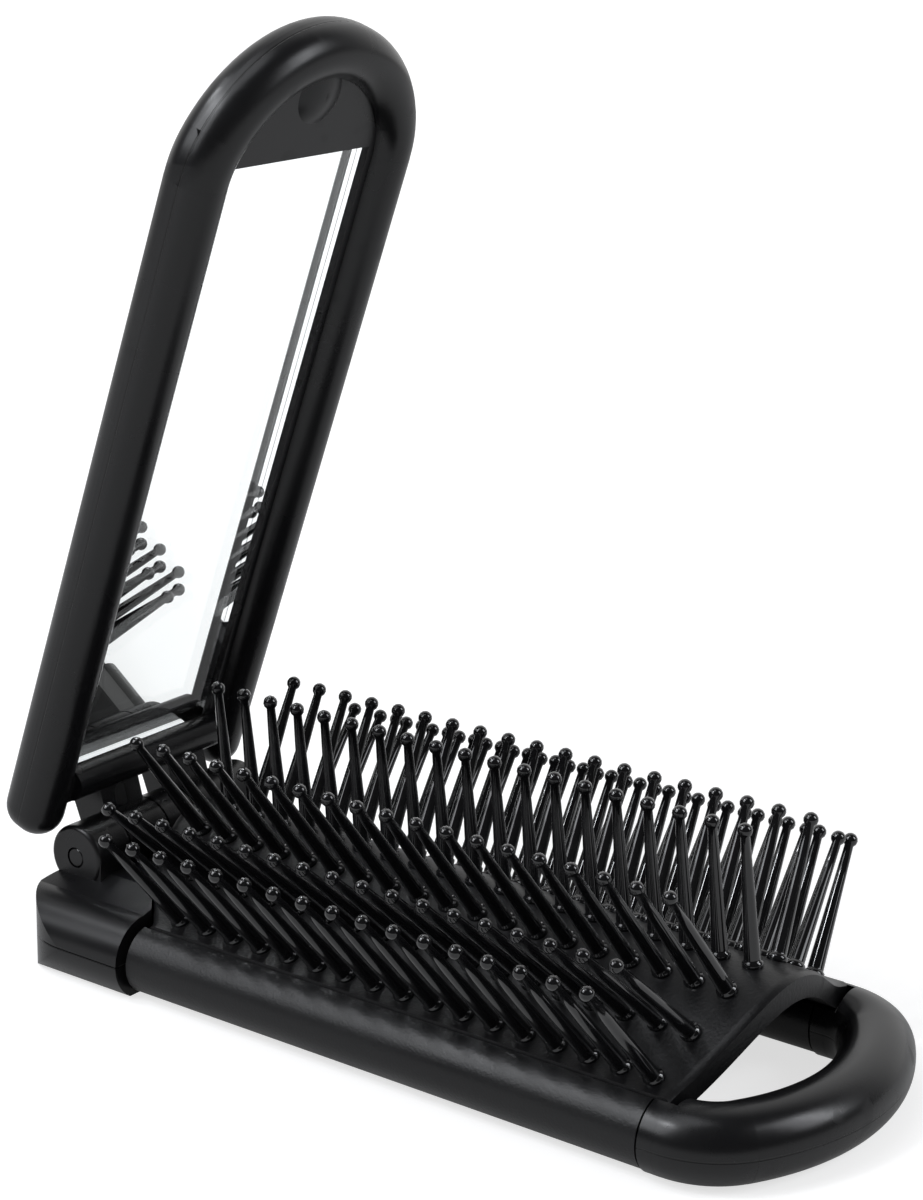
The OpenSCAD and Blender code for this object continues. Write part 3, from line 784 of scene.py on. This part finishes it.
class BRUSH_OT_stage(bpy.types.Operator):
    """Set the pale floor, the soft lights and the camera"""

    bl_idname = "brush.stage"
    bl_label = "Stage"

    def execute(self, context):
        scene = context.scene
        scene.view_settings.view_transform = "Standard"
        # floor
        mesh = bpy.data.meshes.new("floor")
        s = FLOOR_HALF
        mesh.from_pydata([(-s, -s, 0), (s, -s, 0), (s, s, 0), (-s, s, 0)], [], [(0, 1, 2, 3)])
        floor = bpy.data.objects.new("floor", mesh)
        scene.collection.objects.link(floor)
        mat = bpy.data.materials.new("pale floor")
        mat.use_nodes = True
        n, k = mat.node_tree.nodes, mat.node_tree.links
        shader = n["Principled BSDF"]
        shader.inputs["Base Color"].default_value = (0.5, 0.5, 0.5, 1)
        shader.inputs["Roughness"].default_value = 0.9
        shader.inputs["Specular IOR Level"].default_value = 0.0
        path = n.new("ShaderNodeLightPath")
        seen = n.new("ShaderNodeMath")
        seen.operation = "MAXIMUM"
        k.new(path.outputs["Is Camera Ray"], seen.inputs[0])
        k.new(path.outputs["Is Transmission Ray"], seen.inputs[1])
        clear = n.new("ShaderNodeMath")
        clear.operation = "MULTIPLY_ADD"
        clear.inputs[1].default_value = FLOOR_SHINE
        k.new(path.outputs["Is Glossy Ray"], clear.inputs[0])
        k.new(seen.outputs[0], clear.inputs[2])
        # the glow grows away from the brush, so that the floor ends white
        coord = n.new("ShaderNodeTexCoord")
        far = n.new("ShaderNodeVectorMath")
        far.operation = "LENGTH"
        k.new(coord.outputs["Object"], far.inputs[0])
        ramp = n.new("ShaderNodeMapRange")
        ramp.inputs["From Min"].default_value = GLOW_START
        ramp.inputs["From Max"].default_value = GLOW_END
        ramp.inputs["To Min"].default_value = GLOW_NEAR
        ramp.inputs["To Max"].default_value = GLOW_FAR
        k.new(far.outputs["Value"], ramp.inputs["Value"])
        glow = n.new("ShaderNodeMath")
        glow.operation = "MULTIPLY"
        k.new(clear.outputs[0], glow.inputs[0])
        k.new(ramp.outputs["Result"], glow.inputs[1])
        shader.inputs["Emission Color"].default_value = (1, 1, 1, 1)
        k.new(glow.outputs[0], shader.inputs["Emission Strength"])
        mesh.materials.append(mat)
        # world: white where the camera, mirrors and glass look, softer as a lamp
        world = bpy.data.worlds.new("white room")
        scene.world = world
        world.use_nodes = True
        n, k = world.node_tree.nodes, world.node_tree.links
        n.clear()
        out = n.new("ShaderNodeOutputWorld")
        white = n.new("ShaderNodeBackground")
        white.inputs["Color"].default_value = (1, 1, 1, 1)
        path = n.new("ShaderNodeLightPath")
        seen = n.new("ShaderNodeMath")
        seen.operation = "MAXIMUM"
        k.new(path.outputs["Is Camera Ray"], seen.inputs[0])
        k.new(path.outputs["Is Transmission Ray"], seen.inputs[1])
        # a gloss shows the white backdrop on the far side and a dim room on the near one
        coord = n.new("ShaderNodeTexCoord")
        side = n.new("ShaderNodeVectorMath")
        side.operation = "DOT_PRODUCT"
        side.inputs[1].default_value = (-0.59, 0.81, 0.0)
        k.new(coord.outputs["Generated"], side.inputs[0])
        drop = n.new("ShaderNodeMapRange")
        drop.interpolation_type = "SMOOTHSTEP"
        drop.inputs["From Min"].default_value = 0.15
        drop.inputs["From Max"].default_value = 0.7
        drop.inputs["To Min"].default_value = ROOM_SHINE
        drop.inputs["To Max"].default_value = BACKDROP_SHINE
        k.new(side.outputs["Value"], drop.inputs["Value"])
        shine = n.new("ShaderNodeMath")
        shine.operation = "MULTIPLY"
        k.new(path.outputs["Is Glossy Ray"], shine.inputs[0])
        k.new(drop.outputs["Result"], shine.inputs[1])
        rest = n.new("ShaderNodeMath")
        rest.operation = "MULTIPLY_ADD"
        rest.inputs[1].default_value = SOFT_WORLD
        k.new(path.outputs["Is Diffuse Ray"], rest.inputs[0])
        k.new(shine.outputs[0], rest.inputs[2])
        total = n.new("ShaderNodeMath")
        total.operation = "ADD"
        total.use_clamp = True
        k.new(seen.outputs[0], total.inputs[0])
        k.new(rest.outputs[0], total.inputs[1])
        k.new(total.outputs[0], white.inputs["Strength"])
        k.new(white.outputs[0], out.inputs["Surface"])
        # soft lamps
        for name, turn, lift, far, wide, high, power in LAMPS:
            lamp = bpy.data.lights.new(name, "AREA")
            lamp.shape = "RECTANGLE"
            lamp.size, lamp.size_y, lamp.energy = wide, high, power
            lamp.color = LAMP_COLOUR
            obj = bpy.data.objects.new(name, lamp)
            a, e = math.radians(turn), math.radians(lift)
            way = Vector((math.sin(a) * math.cos(e), -math.cos(a) * math.cos(e), math.sin(e)))
            obj.location = LAMP_AIM + way * far
            obj.rotation_euler = way.to_track_quat("Z", "Y").to_euler()
            scene.collection.objects.link(obj)
        # camera at the photograph's viewing angle
        az, el, roll = (math.radians(a) for a in (VIEW_TURN, VIEW_LIFT, VIEW_ROLL))
        back = Vector((math.sin(az) * math.cos(el), -math.cos(az) * math.cos(el), math.sin(el)))
        right = Vector((math.cos(az), math.sin(az), 0))
        up = back.cross(right)
        r2 = right * math.cos(roll) + up * math.sin(roll)
        u2 = up * math.cos(roll) - right * math.sin(roll)
        cam = bpy.data.cameras.new("camera")
        cam.sensor_fit, cam.sensor_width = "AUTO", SENSOR
        cam.lens = FOCAL_SHARE * SENSOR
        cam.clip_start, cam.clip_end = 0.01, 20
        obj = bpy.data.objects.new("camera", cam)
        turn = Matrix((r2, u2, back)).transposed().to_4x4()
        obj.matrix_world = Matrix.Translation(VIEW_PLACE) @ turn
        scene.collection.objects.link(obj)
        scene.camera = obj
        return {"FINISHED"}


class BRUSH_PT_panel(bpy.types.Panel):
    """Sizes, colours and steps of the brush, in the sidebar"""

    bl_idname = "BRUSH_PT_panel"
    bl_label = "Folding hairbrush"
    bl_space_type = "VIEW_3D"
    bl_region_type = "UI"
    bl_category = "Hairbrush"

    def draw(self, context):
        for group in (context.scene.brush_look, context.scene.brush_sizes):
            for key in group.bl_rna.properties.keys():
                if key not in ("rna_type", "name"):
                    self.layout.prop(group, key)
        for step in STEPS:
            self.layout.operator(step.bl_idname)


STEPS = (BRUSH_OT_finishes, BRUSH_OT_pad, BRUSH_OT_pins, BRUSH_OT_mirror_layer,
         BRUSH_OT_lower_bar, BRUSH_OT_stage)
CLASSES = (BrushLook, BrushSizes, *STEPS, BRUSH_PT_panel)


def register():
    for c in CLASSES:
        bpy.utils.register_class(c)
    bpy.types.Scene.brush_look = bpy.props.PointerProperty(type=BrushLook)
    bpy.types.Scene.brush_sizes = bpy.props.PointerProperty(type=BrushSizes)


def unregister():
    del bpy.types.Scene.brush_sizes
    del bpy.types.Scene.brush_look
    for c in reversed(CLASSES):
        bpy.utils.unregister_class(c)


def main():
    register()
    for step in STEPS:
        group, call = step.bl_idname.split(".")
        getattr(getattr(bpy.ops, group), call)()


if __name__ == "__main__":
    main()
